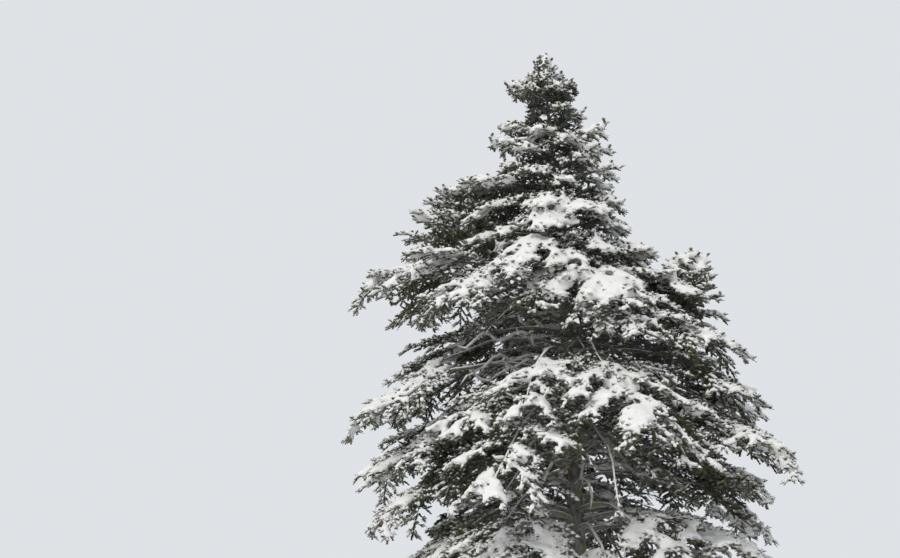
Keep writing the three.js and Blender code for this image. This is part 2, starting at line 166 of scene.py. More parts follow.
# Short boughs in front and at the tip: height, heading, rise, reach, and the half width and the depth
# of the snow pad on those that carry one
SHORT_BOUGHS = [
    (12.6, 150, 0.1, 0.34),
    (12.54, 10, 0.1, 0.36),
    (12.46, 260, 0.1, 0.42),
    (12.36, 185, 0.08, 0.56),
    (12.28, 350, 0.06, 0.6),
    (9.75, 192, -0.1, 1.3),
    (9.7, 266, -0.1, 1.5),
    (9.6, 208, -0.45, 2.1, 0.32, 0.14),
    (9.3, 262, -0.3, 2.0, 0.75, 0.14),
    (8.5, 274, -0.4, 2.3),
    (8.35, 236, -0.45, 2.2, 0.34, 0.15),
    (8.1, 266, -0.55, 2.5, 0.55, 0.16),
    (7.75, 281, -0.5, 2.6),
    (7.6, 235, -0.5, 2.3),
    (7.3, 290, -0.5, 2.6, 0.45, 0.18),
    (6.6, 288, -0.5, 2.6),
    (5.6, 264, -0.6, 2.4),
]
SHORT_SEED = 7000

# Dead limbs, grey and bare: height, heading, rise, reach
DEAD_LIMBS = [
    (8.0, 200, -0.35, 1.9),
    (7.3, 205, -0.35, 1.9),
    (7.05, 222, 0.1, 1.5),
    (6.85, 200, -0.25, 2.3),
    (6.6, 232, 0.2, 1.5),
    (6.35, 205, -0.35, 2.3),
    (6.15, 226, -0.1, 1.9),
    (5.95, 208, -0.25, 2.5),
    (5.3, 318, -0.5, 2.4),
    (4.9, 290, -0.6, 2.0),
    (5.35, 262, -1.2, 1.7),
    (5.1, 240, -0.9, 1.8),
    (4.85, 300, -1.0, 1.9),
    (4.6, 250, -1.5, 2.0),
    (4.4, 278, -1.1, 1.8),
    (4.1, 228, -0.8, 2.2),
    (4.2, 330, -0.5, 2.6),
    (3.9, 215, -0.6, 2.6),
    (6.6, 60, -0.3, 2.2),
    (5.6, 120, -0.4, 2.4),
    (4.7, 20, -0.5, 2.4),
    (3.6, 80, -0.5, 2.4),
]
DEAD_RADIUS = (0.045, 0.026)
DEAD_CROOK = 0.06
DEAD_SWAY = 0.12
DEAD_ARCH = (-0.1, 0.3)
DEAD_TWIGS = 0.4  # the share of the side limbs that they have kept
DEAD_SEED = 9000
LEADER_LIMBS = 38
TIP_LIMBS = 16
TIP_SPAN = 0.38
TWIN_SHARES = (0.9, 0.6)  # a limb's twin across the bough, as a share of its length, foot to tip
LIMB_RADIUS = (0.004, 0.007)  # at the foot: plus the second for every metre
LIMB_TIP = 0.003
TWIG_STEP = 0.2
TWIG_PAIRS = (2, 9)
TWIG_SHORTEST = 0.13
TWIG_LUCK = (0.65, 1.25)
TWIG_TURN_LUCK = 16
TWIG_SAG_LUCK = (-0.1, 1.3)
TWIG_CURL = (-0.3, 0.1)  # back along its limb, and out from it
TWIG_RADIUS = (0.0045, 0.002)
BOUGH_KNOBS = 0.3  # how knobbly the bark of boughs is, as a share of their radius
RIDGE_STEP = 0.13  # between the twigs on the ridge of a bough
RIDGE_FROM = 0.12  # share of the bough where they begin
RIDGE_TWIGS = (0.14, 0.34)
RIDGE_TAPER = 0.5  # what they may gain on the shortest, as a share of the way to the tip
RIDGE_TURN = (25, 75)
RIDGE_LIFT = (0, 0.6)
RIDGE_CURL = (-0.3, 0.3)
RIDGE_SEED = 20000
APEX_SPAN = 0.75  # below the top, where twigs and shoots are shorter
APEX_SHARE = 0.3  # how short they are at the top
APEX_REACH = 0.15  # how far above the top they would have no length at all
SHOOT_STEP = 0.115
SHOOT_COUNTS = (1, 6)
SHOOT_SEATS = (0.55, 0.4)  # in steps: where the first one stands, and the room over at the end
SHOOT_LENGTH = (0.11, 0.17)
SHOOT_TURN = 46
SHOOT_TURN_LUCK = 18
SHOOT_LIFTS = ((-0.3, 0.7), (0.1, 0.9))  # how far shoots turn up, low and high on the tree
LIFT_HEIGHTS = (6.5, 9.5)
NEEDLE_STEP = 0.15  # the length of twig that one set of needles covers
NEEDLES_FROM = (0, 0.05, 0.45, 0.85)  # the share of shoots, twigs, limbs and boughs where they begin
NEEDLE_SPIN = 25  # how far each set may be turned round its twig, in degrees
NEEDLE_LUCK = (0.8, 1.2)
NEEDLE_FADE = 0.3  # how much shorter the last needles of a set are
NEEDLE_LEAN = 0.6  # how far they lean forward
NEEDLE_SEAT = 0.6  # how far along its own step each one stands

# A set of needles: teeth in a rank, length of a needle, and the ranks in degrees round the twig
OPEN_NEEDLES = (4, 0.034, (-20, 90, 200))
SNOWY_NEEDLES = (3, 0.038, (-25, 205))
INNER_NEEDLES = (3, 0.042, (-20, 200))
INNER_SHARE = 0.62  # of the crown's reach: what lies nearer the trunk is inner
INNER_KEPT = 0.34  # of the sets of needles there, which nobody sees one by one
INNER_BELOW = 9.0  # higher up the crown is thin, and all of them are kept
PIECE_LIMIT = 180000  # faces in one piece of needles

# Snow

# Directions that snow comes from: straight down, and slanting on the wind, most of it from the front
SNOW_SLANTS = [(0, 0), (-0.8, -0.3), (0, -0.9), (0.6, -0.6), (0.2, 0.9)]
COVER = 8.0  # sets of needles close above one spot that keep off most of its snow
SNOW_CELL = 0.22
SHELTER_CELLS = 5  # how many cells up the needles still keep snow off
PATCHES = ((0.8, 1.0), (0.25, 0.35))  # where snow lies deeper: their size and how much deeper
EVEN_SHARE = 0.9  # what lies whatever the patch
LOAD_LUCK = 0.14  # how much of the load is luck
HELD_LEVEL = 0.12  # how much more snow lies on a level twig
HELD_LOSS = 0.75  # and how much of it slides off an upright one
# Where the wind takes some of it: middle, radius and the share that is gone, below 0 where it
# leaves more
WINDY_SPOTS = [
    ((-0.45, 0, 12.9), 2.2, 0.34),
    ((-2.4, 1.2, 9.9), 1.9, 0.42),
    ((2.8, 0.1, 8.3), 1.3, 0.26),
    ((-0.1, -1.7, 7.9), 1.9, -0.34),
    ((-3.1, 0, 7.6), 1.6, 0.52),
    ((-1.5, -1.6, 6.1), 1.9, 0.55),
]
DUSTED = 0.37  # least load of a set of needles that holds a line of snow
DUST_WIDTH = (0.032, 0.054)
DUST_RANGE = 0.5  # of load, over which its line grows to the full width
LINE_WIDTH = (0.01, 0.026)  # snow along the top of boughs and dead limbs
LINE_SLOPE = 0.45  # it slides off where they are steeper
LINE_SPAN = (-0.08, 1.08)  # so that each stretch runs into the next
LUMPED = 0.46  # least load of a twig that holds a lump
LADEN = 0.67  # least load of a twig whose lump is one of a smooth pad
LADEN_SWELL = 1.4  # how much wider and higher its lumps are
LUMP_SEATS = ((0.1, 0.4), (0.55, 0.85))  # where on their twig its two lumps lie
LUMP_LENGTH = (0.065, 0.125)
LUMP_WIDTH = (0.032, 0.066)
LUMP_HEIGHT = (0.026, 0.048)
LUMP_RANGE = 0.4  # of load, over which a lump grows to its full size
LUMP_SHARE = 0.35  # its half length at most, as a share of its twig
LUMP_RISE = 0.6  # how high its middle lies over the twig, as a share of its height
BLANKET_VOXEL = 0.065

# The deepest pads: the bough's seed, from and to as shares of it, half width and depth. The seed of
# a tier's bough is ten times its tier, plus its side's step.
PADS = [
    (30, 0.4, 0.8, 0.21, 0.13),
    (42, 0.4, 0.8, 0.26, 0.13),
    (53, 0.35, 0.85, 0.3, 0.14),
    (63, 0.4, 0.8, 0.45, 0.2),
    (72, 0.52, 0.86, 0.42, 0.32),
    (83, 0.43, 0.86, 0.45, 0.2),
    (92, 0.6, 0.9, 0.4, 0.16),
    (102, 0.6, 0.9, 0.4, 0.18),
    (103, 0.5, 0.8, 0.4, 0.16),
    (112, 0.66, 0.91, 0.42, 0.18),
]
SHORT_PAD_SPAN = (0.45, 0.92)  # from and to for the pads of short boughs
PAD_STEP = 0.09
PAD_ENDS = (0.15, 0.85)  # the part of a sine wave that a pad's width follows
PAD_ASIDE = 0.7  # how far its lumps lie from the ridge, as a share of the half width
PAD_RISE = 0.45  # how high their middles lie on the ridge, as a share of the depth
PAD_FALL = 0.5  # how much lower they lie for every metre aside
PAD_LENGTH = (0.16, 0.26)  # half the length of its lumps
PAD_WIDTH = (0.35, 0.5)
PAD_HEIGHT = (0.45, 0.6)
PAD_LOWEST = 0.5  # how high its lumps are at no width, as a share

# Colours

NEEDLE_TINTS = {
    "needles_dark": (0.085, 0.09, 0.065),
    "needles_green": (0.11, 0.12, 0.07),
    "needles_olive": (0.21, 0.2, 0.085),
    "needles_brown": (0.15, 0.12, 0.075),
    "needles_rime": (0.27, 0.28, 0.25),
    # Paler than the needles outside: painted light that lifts the deep shade inside the crown
    "needles_inner_painted_light": (0.145, 0.15, 0.125),
}
TINT_SHARES = (0.36, 0.31, 0.27, 0.06)
RIMED = 0.3  # least load of a spray whose needles may be white with rime
RIME_SHARE = 0.2
TINT_PATCH = 0.25  # the size of a spray that takes one tint
SNOW_COLOUR = (0.82, 0.815, 0.8)
CRUST_COLOUR = (0.74, 0.74, 0.74)
BARK_COLOURS = ((0.09, 0.083, 0.075), (0.22, 0.21, 0.195))
TWIG_COLOURS = ((0.08, 0.07, 0.06), (0.15, 0.135, 0.115))
DEAD_COLOURS = ((0.42, 0.41, 0.4), (0.74, 0.73, 0.71))
LICHEN_COLOUR = (0.16, 0.17, 0.07)
FLOOR_COLOUR = (0.8, 0.8, 0.8)

# Camera: it stands where the photo's did, with the tree's foot right of the middle
CAMERA_BACK = 25.0
CAMERA_HEIGHT = 1.6
CAMERA_PITCH = 14.6
PHOTO_WIDTH = 900  # in pixels, like the next two
FOCUS_PIXELS = 1236  # focal length
FOOT_PIXELS = 125  # how far right of the middle the foot stands
SENSOR_WIDTH = 36
CAMERA_SIGHT = 500

# Light: a veiled sun from in front on the left, and a bright sky
SUN_ENERGY = 1.5
SUN_COLOUR = (1.0, 0.96, 0.88)
SUN_SPREAD = 14
SUN_WAY = (0.5, 0.75, -0.7)
SKY_COLOUR = (0.61, 0.635, 0.66)
SKY_STRENGTH = 1.2
FLOOR_RADIUS = 60

UP = np.array([0.0, 0.0, 1.0])


# Seeded numbers: the first key says for what, and the second which of its draws


def chance(a, b):
    """A number from 0 to 1 that is always the same for the same two keys."""
    s = np.sin(np.asarray(a, float) * 127.1 + np.asarray(b, float) * 311.7) * 43758.5453
    return s - np.floor(s)


def between(low, high, a, b):
    """A number between two ends that is always the same for the same two keys."""
    return low + (high - low) * chance(a, b)


def patches(points, size, offset=0.0):
    """Smooth noise from 0 to 1 at each point, with patches of that size."""
    shift = Vector((offset, offset * 1.7, offset * 0.6))
    return np.array([0.5 + 0.5 * noise.noise(Vector(p) / size + shift) for p in points])


# Vectors


def unit(vectors):
    return vectors / np.maximum(np.linalg.norm(vectors, axis=-1, keepdims=True), 1e-9)


def turned(vectors, degrees):
    """Vectors turned about the vertical, anticlockwise from above."""
    c, s = np.cos(np.radians(degrees)), np.sin(np.radians(degrees))
    x, y, z = vectors.T
    return np.stack([c * x - s * y, s * x + c * y, z], axis=1)


def across_level(ways):
    """Level directions across each way, also where it is upright."""
    return unit(np.cross(ways, UP) + 1e-4)


def lerp(low, high, share):
    return low + (high - low) * share


# Curves


class Growth:
    """Many curves at once, one a row: boughs, limbs, twigs or shoots."""

    TRAITS = "root along length rise seed radius curl sway arch start crook".split()

    def __init__(
        self, root, along, length, rise, seed, radius, curl=0, sway=0, arch=0, start=0, crook=CROOK
    ):
        self.root = np.asarray(root, float)
        self.along = unit(np.asarray(along, float))
        self.across = unit(np.cross(self.along, UP))
        self.length, self.rise, self.seed, self.radius = (
            np.asarray(trait, float) for trait in (length, rise, seed, radius)
        )
        self.curl, self.sway, self.arch, self.start, self.crook = (
            np.broadcast_to(trait, len(root)) for trait in (curl, sway, arch, start, crook)
        )

    def __len__(self):
        return len(self.root)

    def at(self, share, of):
        """The point at that share of each chosen curve."""
        share = np.asarray(share, float)[..., None]
        names = "length rise seed curl sway arch crook".split()
        length, rise, seed, curl, sway, arch, crook = (getattr(self, n)[of][..., None] for n in names)
        run = length * share
        aside, lifted = (crook * run * np.sin(2 * np.pi * t * share + seed) for t in CROOK_TURNS)
        bend = curl * share**2 + sway * np.sin(np.pi * share) + aside
        lift = rise * share**BEND_POWER + arch * share * (1 - share) + lifted
        return self.root[of] + self.along[of] * run + self.across[of] * bend + UP * lift

    def way(self, share, of):
        """The curve's direction there."""
        step = 0.02
        share = np.asarray(share, float)
        return unit(self.at(np.minimum(1, share + step), of) - self.at(np.maximum(0, share - step), of))


def fanned(parents, share, of, side, degrees):
    """Directions that leave each parent curve at that angle, to the left or the right."""
    turn = np.radians(degrees)[:, None]
    return parents.way(share, of) * np.cos(turn) + parents.across[of] * side[:, None] * np.sin(turn)


def joined(growths):
    """Several growths as one."""
    return Growth(**{n: np.concatenate([getattr(g, n) for g in growths]) for n in Growth.TRAITS})


def picked(growth, rows):
    """Some curves of a growth by themselves."""
    return Growth(**{n: getattr(growth, n)[rows] for n in Growth.TRAITS})


def spread(counts):
    """For each child of parents with these counts: its parent's row, and its number."""
    of = np.repeat(np.arange(len(counts)), counts)
    first = np.concatenate([[0], np.cumsum(counts)[:-1]])
    return of, np.arange(len(of)) - first[of]


def steps_in(lengths, step, fewest=0, most=np.inf):
    """How many steps fit in each length, to the nearest whole one within those limits."""
    return np.clip(np.round(lengths / step), fewest, most).astype(int)


def trunk_axis(height):
    """The middle of the trunk at each height."""
    height = np.asarray(height, float)
    return np.stack([TOP_LEAN * (height / TREE_HEIGHT) ** 2, 0 * height, height], axis=-1)


def trunk_radius(height):
    """Its radius there, without the flare of the roots."""
    taper = (TRUNK_TOP - height) / (TRUNK_TOP - BREAST_HEIGHT)
    return TOP_RADIUS + (GIRTH_RADIUS - TOP_RADIUS) * np.maximum(taper, 0) ** TAPER_POWER


def tapers(foot, tip):
    """Radii at the foot and the tip of many curves."""
    return np.stack([foot, np.full_like(foot, tip)], axis=1)


def heading_at(degrees):
    """Level directions, turned anticlockwise from +X."""
    angle = np.radians(degrees)
    return np.stack([np.cos(angle), np.sin(angle), 0 * angle], axis=-1)


def in_hollow(points):
    """Whether each point lies in one of the hollows."""
    depths = [np.linalg.norm((points - middle) / size, axis=-1) for middle, size in HOLLOWS]
    return np.min(depths, axis=0) < 1


def tier_boughs(heights):
    """The boughs of the tiers and their sisters: height, heading, rise, reach, seed and bare share."""
    rows = []
    for number, (height, turn, rise, *reaches) in enumerate(TIERS, start=1):
        # Half the height from the tier above to the one below
        gap = 0.5 * (heights[max(0, number - 2)] - heights[min(len(TIERS) - 1, number)])
        for (side, (facing, step)), reach in zip(SIDES.items(), reaches):
            bare = BARE_SHARE if number in BARE_TIERS and side in ("left", "right") else 0
            for sister, (veer, up, share) in enumerate(SISTERS if reach else []):
                seed = number * 10 + step + SISTER_SEED * sister
                heading = facing + turn + veer
                tilt = between(*SISTER_TILT, seed, 2) * (sister > 0)
                rows.append((height + up * gap, heading, rise + tilt * reach, reach * share, seed, bare))
    return rows


def fill_boughs(heights):
    """The short boughs that fill the crown, in the same columns."""
    rows = []
    mean_reach = [np.mean([r for r in tier[3:] if r]) for tier in TIERS]
    for number, height in enumerate(np.arange(heights[-1], TRUNK_TOP - FILL_GAP, FILL_STEP)):
        seed = FILL_SEED + number
        crown = np.interp(-height, np.negative(heights), mean_reach)
        reach = crown * between(*FILL_SHARE, seed, 3)
        middle = trunk_axis(height) + 0.5 * reach * heading_at(number * SPIRAL_TURN)
        if not in_hollow(middle):
            rows.append((height, number * SPIRAL_TURN, FILL_DROP * reach, reach, seed, 0))
    return rows


def grow_boughs():
    """Every living bough from the trunk."""
    heights = [tier[0] for tier in TIERS]
    short = [(*row[:4], SHORT_SEED + number, 0) for number, row in enumerate(SHORT_BOUGHS)]
    rows = tier_boughs(heights) + fill_boughs(heights) + short
    height, turn, rise, reach, seed, bare = np.array(rows).T
    rise = rise - FRONT_DROP * reach * np.sin(np.radians(turn)) ** 2
    foot = np.minimum(BOUGH_GIRTH * reach + BOUGH_TIP, FORK_SHARE * trunk_radius(height))
    return Growth(
        root=trunk_axis(height),
        along=heading_at(turn),
        length=reach,
        rise=rise,
        seed=seed,
        radius=tapers(foot, BOUGH_TIP),
        sway=-between(-SWAY_SHARE, SWAY_SHARE, seed, 1) * reach,
        arch=4 * ARCH_SHARE * reach,
        start=bare,
    )


def grow_dead_limbs():
    """The dead limbs, crooked and still thick at the tip."""
    height, turn, rise, reach = np.array(DEAD_LIMBS).T
    seed = DEAD_SEED + np.arange(len(height))
    return Growth(
        root=trunk_axis(height),
        along=heading_at(turn),
        length=reach,
        rise=rise,
        seed=seed,
        radius=np.broadcast_to(DEAD_RADIUS, (len(height), 2)),
        sway=between(-DEAD_SWAY, DEAD_SWAY, seed, 1) * reach,
        arch=between(*DEAD_ARCH, seed, 2) * reach,
        crook=DEAD_CROOK,
    )


def leafy_from(boughs):
    """The share of every bough where its limbs begin."""
    high = (boughs.root[:, 2] - LEAFY_HEIGHTS[0]) / (LEAFY_HEIGHTS[1] - LEAFY_HEIGHTS[0])
    least = lerp(FOLIAGE_FROM, LEAFY_TOP, np.clip(high, 0, 1))
    least[(boughs.seed >= SHORT_SEED) & (boughs.seed < DEAD_SEED)] = LEAFY_TOP
    return np.maximum(boughs.start + LEAFY_GAP * (boughs.start > 0), least)


def limb_growth(root, along, length, rise, seed):
    """Limbs that curl a little to either side, thicker where they are longer."""
    radius = tapers(LIMB_RADIUS[0] + LIMB_RADIUS[1] * length, LIMB_TIP)
    curl = between(-LIMB_CURL, LIMB_CURL, seed, 5) * length
    return Growth(root, along, length, rise, seed, radius, curl=curl)


def grow_limbs(boughs):
    """The limbs of every bough, each with a twin across from it."""
    leafy = leafy_from(boughs)
    stretch = 1 - leafy
    count = np.clip(steps_in(boughs.length * stretch, LIMB_STEP) + LIMB_EXTRA, *LIMB_COUNTS)
    of, number = spread(2 * count)
    k = number // 2
    twin = number % 2
    first, across, over = LIMB_SEATS
    share = leafy[of] + stretch[of] * (k + first + across * twin) / (count[of] + over)
    seed = boughs.seed[of]
    side = np.where((k + seed % 2) % 2 > 0.5, 1, -1) * np.where(twin, -1, 1)
    turn = side * (LIMB_TURN + between(-TURN_LUCK, TURN_LUCK, seed, 30 + k + 7 * twin))
    progress = (share - leafy[of]) / stretch[of]
    full = boughs.length[of] * LIMB_SHARE * between(*LIMB_LUCK, seed, 40 + k + 7 * twin)
    length = full * lerp(LIMB_SHORTEST, 1, (1 - progress) ** LIMB_FADE)
    length = length * np.where(twin, lerp(*TWIN_SHARES, progress), 1)
    limb_seed = seed * 10 + k + 0.5 * twin
    along = turned(boughs.way(share, of), turn) * [1, 1, LIMB_LEVEL]
    rise = -LIMB_SAGS[(k // 2) % 2] * length * between(*SAG_LUCK, limb_seed, 6)
    return limb_growth(boughs.at(share, of), along, length, rise, limb_seed)


def grow_leaders():
    """The bent limb of each side leader, and then its upright stem, with the tree's top shoot last."""
    rows = []
    for low, turn, elbow, top, _ in LEADERS:
        foot = trunk_axis(low)
        below = foot * [1, 1, 0]
        elbow_at, top_at = (below + heading_at(turn) * out + UP * high for out, high in (elbow, top))
        rows.append((foot, heading_at(turn), elbow[0], elbow[1] - low, LEADER_RADIUS))
        stem = top_at - elbow_at
        rows.append((elbow_at, stem, np.linalg.norm(stem), 0, (LEADER_RADIUS[1], TIP_RADIUS)))
    shoot = trunk_axis(TREE_HEIGHT) - trunk_axis(TRUNK_TOP)
    rows.append((trunk_axis(TRUNK_TOP), shoot, np.linalg.norm(shoot), 0, (TOP_RADIUS, TIP_RADIUS)))
    root, along, length, rise, radius = zip(*rows)
    return Growth(root, along, length, rise, LEADER_SEED + np.arange(len(rows)), radius)


def grow_spiral(stem, turn, span, count, seed):
    """Limbs all round an upright stem, longer towards its foot."""
    k = np.arange(count)
    of = np.zeros(count, int)
    share = lerp(*SPIRAL_SPAN, k / count)
    along = heading_at(turn + k * SPIRAL_TURN)
    along[:, 2] = lerp(*SPIRAL_RISE, share)
    length = span * (1 - SPIRAL_TAPER * share**SPIRAL_FADE) * between(*SPIRAL_LUCK, seed, k)
    return limb_growth(stem.at(share, of), along, length, -LIMB_SAGS[0] * length, seed + k)


def apex_share(points):
    """How long the twigs and shoots from each point are, shorter close to the top."""
    return np.clip((TREE_HEIGHT + APEX_REACH - points[:, 2]) / APEX_SPAN, APEX_SHARE, 1)


def twig_growth(root, along, length, seed, curl):
    """Thin sagging twigs."""
    rise = -TWIG_SAG * length * between(*TWIG_SAG_LUCK, seed, 22)
    radius = np.broadcast_to(TWIG_RADIUS, (len(length), 2))
    return Growth(root, along, length, rise, seed, radius, curl=curl)


def grow_twigs(limbs):
    """A row of twigs down both sides of every limb."""
    pairs = steps_in(limbs.length, TWIG_STEP, *TWIG_PAIRS)
    of, number = spread(2 * pairs)
    i = number // 2
    side = np.where(number % 2, 1, -1)
    first, across, over = TWIG_SEATS
    share = (i + first + across * (number % 2)) / (pairs[of] + over)
    seed = limbs.seed[of] * 3.1 + number
    length = limbs.length[of] * TWIG_SHARE * (1 - CORE_TAPER * share) * between(*TWIG_LUCK, seed, 20)
    root = limbs.at(share, of)
    length = np.maximum(length, TWIG_SHORTEST) * apex_share(root)
    turn = TWIG_TURN + between(-TWIG_TURN_LUCK, TWIG_TURN_LUCK, seed, 21)
    along = fanned(limbs, share, of, side, turn)
    return twig_growth(root, along, length, seed, side * between(*TWIG_CURL, seed, 23) * length)


def grow_ridge_twigs(boughs):
    """Short twigs along the ridge of every bough, between its limbs."""
    leafy = np.maximum(boughs.start, RIDGE_FROM)
    count = steps_in(boughs.length * (1 - leafy), RIDGE_STEP)
    of, i = spread(count)
    share = lerp(leafy[of], 1, (i + 0.5) / count[of])
    seed = RIDGE_SEED + boughs.seed[of] * 5.3 + i
    side = np.where(i % 2, 1, -1)
    lift = UP * between(*RIDGE_LIFT, seed, 42)[:, None]
    along = fanned(boughs, share, of, side, between(*RIDGE_TURN, seed, 41)) + lift
    to_tip = (1 - share) * boughs.length[of]
    length = np.minimum(between(*RIDGE_TWIGS, seed, 43), RIDGE_TWIGS[0] + RIDGE_TAPER * to_tip)
    curl = between(*RIDGE_CURL, seed, 23) * length
    return twig_growth(boughs.at(share, of), along, length, seed, curl)


def grow_shoots(twigs):
    """Short shoots by turns on both sides of every twig."""
    count = steps_in(twigs.length, SHOOT_STEP, *SHOOT_COUNTS)
    of, i = spread(count)
    seed = twigs.seed[of] * 2.3 + i
    first, over = SHOOT_SEATS
    share = (i + first) / (count[of] + over)
    side = np.where(i % 2, 1, -1)
    turn = SHOOT_TURN + between(-SHOOT_TURN_LUCK, SHOOT_TURN_LUCK, seed, 31)
    along = fanned(twigs, share, of, side, turn)
    root = twigs.at(share, of)
    high = np.clip((root[:, 2] - LIFT_HEIGHTS[0]) / (LIFT_HEIGHTS[1] - LIFT_HEIGHTS[0]), 0, 1)
    low_lift, high_lift = (between(*lifts, seed, 32) for lifts in SHOOT_LIFTS)
    along = along + UP * lerp(low_lift, high_lift, high)[:, None]
    length = between(*SHOOT_LENGTH, seed, 33) * apex_share(root)
    return Growth(root, along, length, 0 * length, seed, radius=np.zeros((len(length), 2)))


# Meshes from arrays


def add_object(name, data):
    """An object in the scene that holds this mesh, camera or light."""
    obj = bpy.data.objects.new(name, data)
    bpy.context.scene.collection.objects.link(obj)
    return obj


def make_piece(name, points, faces, materials, slot, kinds=None, smooth=True):
    """One object from points and triangles, riding on the tree."""
    mesh = bpy.data.meshes.new(name)
    mesh.vertices.add(len(points))
    mesh.vertices.foreach_set("co", np.asarray(points, np.float32).ravel())
    mesh.loops.add(3 * len(faces))
    mesh.loops.foreach_set("vertex_index", np.asarray(faces, np.int32).ravel())
    mesh.polygons.add(len(faces))
    mesh.polygons.foreach_set("loop_start", np.arange(0, 3 * len(faces), 3, dtype=np.int32))
    mesh.polygons.foreach_set("use_smooth", np.full(len(faces), smooth))
    for material in materials:
        mesh.materials.append(material)
    if kinds is not None:
        mesh.polygons.foreach_set("material_index", np.asarray(kinds, np.int32))
    mesh.update(calc_edges=True)
    obj = add_object(name, mesh)
    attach(obj, "root")
    return obj


def merged(meshes):
    """Several (points, faces) as one."""
    points, faces = zip(*meshes)
    starts = np.cumsum([0] + [len(p) for p in points[:-1]])
    return np.concatenate(points), np.concatenate([f + start for start, f in zip(starts, faces)])


def repeated(points, pattern):
    """The same faces over every row of points: (points, faces)."""
    count, corners = points.shape[:2]
    faces = np.arange(count)[:, None, None] * corners + np.array(pattern)[None]
    return points.reshape(-1, 3), faces.reshape(-1, 3)


def walls(starts, sides, rings):
    """The triangles between the rings of tubes whose points start there, as a list of arrays."""
    side = np.arange(sides)
    after = (side + 1) % sides
    faces = []
    for ring in range(rings - 1):
        a, b = starts + ring * sides + side, starts + ring * sides + after
        faces += [np.stack([a, b, b + sides], -1), np.stack([a, b + sides, a + sides], -1)]
    return faces


def tubes(growth, sides, rings, rough=0):
    """A closed tapering tube along every curve, with a pointed tip and knobs of that share."""
    count = len(growth)
    of = np.repeat(np.arange(count), rings)
    share = np.tile(np.arange(rings) / rings, count)
    way = growth.way(share, of)
    right = unit(np.cross(way, UP))
    over = np.cross(right, way)
    foot, tip = growth.radius[of].T
    knobs = 1 + rough * (chance(np.arange(len(of))[:, None], np.arange(sides)) - 0.5)
    radius = lerp(foot, tip, share)[:, None] * knobs
    angle = np.arange(sides) * 2 * np.pi / sides
    ring = np.cos(angle)[None, :, None] * right[:, None] + np.sin(angle)[None, :, None] * over[:, None]
    around = growth.at(share, of)[:, None] + radius[..., None] * ring
    points = np.concatenate([around.reshape(-1, 3), growth.at(np.ones(count), np.arange(count))])

    base = np.arange(count)[:, None] * rings * sides
    side = np.arange(sides)
    faces = walls(base, sides, rings)
    last = base + (rings - 1) * sides
    end = np.broadcast_to(rings * sides * count + np.arange(count)[:, None], (count, sides))
    faces.append(np.stack([last + side, last + (side + 1) % sides, end], -1))
    for s in range(1, sides - 1):
        faces.append(np.stack([base, base + s + 1, base + s], -1))
    return points, np.concatenate([f.reshape(-1, 3) for f in faces])


def trunk_mesh():
    """The trunk with its root flare and the plates of its bark, closed by flat ends."""
    heights = TRUNK_TOP * np.linspace(0, 1, TRUNK_RINGS) ** RING_POWER
    angle = np.arange(TRUNK_SIDES) * 2 * np.pi / TRUNK_SIDES
    ridges = 1 - RIDGE_SHARE + RIDGE_SHARE * np.cos(ROOT_RIDGES * angle)
    flare = FLARE * np.exp(-heights / FLARE_HEIGHT)[:, None] * ridges
    radius = trunk_radius(heights)[:, None] + flare
    ring = heading_at(np.degrees(angle))
    axis = trunk_axis(heights)[:, None]
    smooth = (axis + radius[..., None] * ring).reshape(-1, 3)
    stretched = smooth / BARK_PLATE
    plates = patches(stretched, 1).reshape(radius.shape)
    furrow = np.exp(-(((plates - 0.5) / FURROW_WIDTH) ** 2))
    flakes = patches(stretched, BARK_FLAKE, 3).reshape(radius.shape)
    thin = np.minimum(1, radius / GIRTH_RADIUS)
    radius = radius - BARK_DEPTH * thin * (furrow + FLAKE_DEPTH * flakes)
    around = (axis + radius[..., None] * ring).reshape(-1, 3)
    points = np.concatenate([around, axis[[0, -1], 0]])
    side = np.arange(TRUNK_SIDES)
    after = (side + 1) % TRUNK_SIDES
    top = TRUNK_SIDES * (TRUNK_RINGS - 1)
    faces = walls(0, TRUNK_SIDES, TRUNK_RINGS)
    faces.append(np.stack([after, side, 0 * side + len(points) - 2], 1))
    faces.append(np.stack([top + side, top + after, 0 * side + len(points) - 1], 1))
    return points, np.concatenate(faces)


def needle_runs(growth, first):
    """Short straight runs along every curve from that share on: (starts, ends)."""
    count = steps_in(growth.length * (1 - first), NEEDLE_STEP, fewest=1)
    of, i = spread(count)
    return np.stack([growth.at(lerp(first, 1, (i + j) / count[of]), of) for j in (0, 1)])


def needles(runs, rows, teeth, reach, ranks):
    """Toothed ranks of needles round some of the runs: (points, faces, the run of each face)."""
    starts, ends = runs[:, rows]
    along = unit(ends - starts)
    right = across_level(along)
    over = np.cross(right, along)
    step = np.linspace(0, 1, teeth + 1)
    axis = lerp(starts[:, None], ends[:, None], step[None, :, None])
    spin = between(-NEEDLE_SPIN, NEEDLE_SPIN, rows, 51)
    tips = []
    pattern = []
    for rank, degrees in enumerate(ranks):
        angle = np.radians(degrees + spin)[:, None]
        out = np.cos(angle) * right + np.sin(angle) * over
        for tooth in range(teeth):
            length = reach * between(*NEEDLE_LUCK, rows, 60 + rank * teeth + tooth)
            length = length * (1 - NEEDLE_FADE * tooth / teeth)
            middle = lerp(starts, ends, (tooth + NEEDLE_SEAT) / teeth)
            pattern.append((tooth, min(tooth + 2, teeth), teeth + 1 + len(tips)))
            tips.append(middle + (out + NEEDLE_LEAN * along) * length[:, None])
    points = np.concatenate([axis, np.stack(tips, axis=1)], axis=1)
    return *repeated(points, pattern), np.repeat(rows, len(pattern))


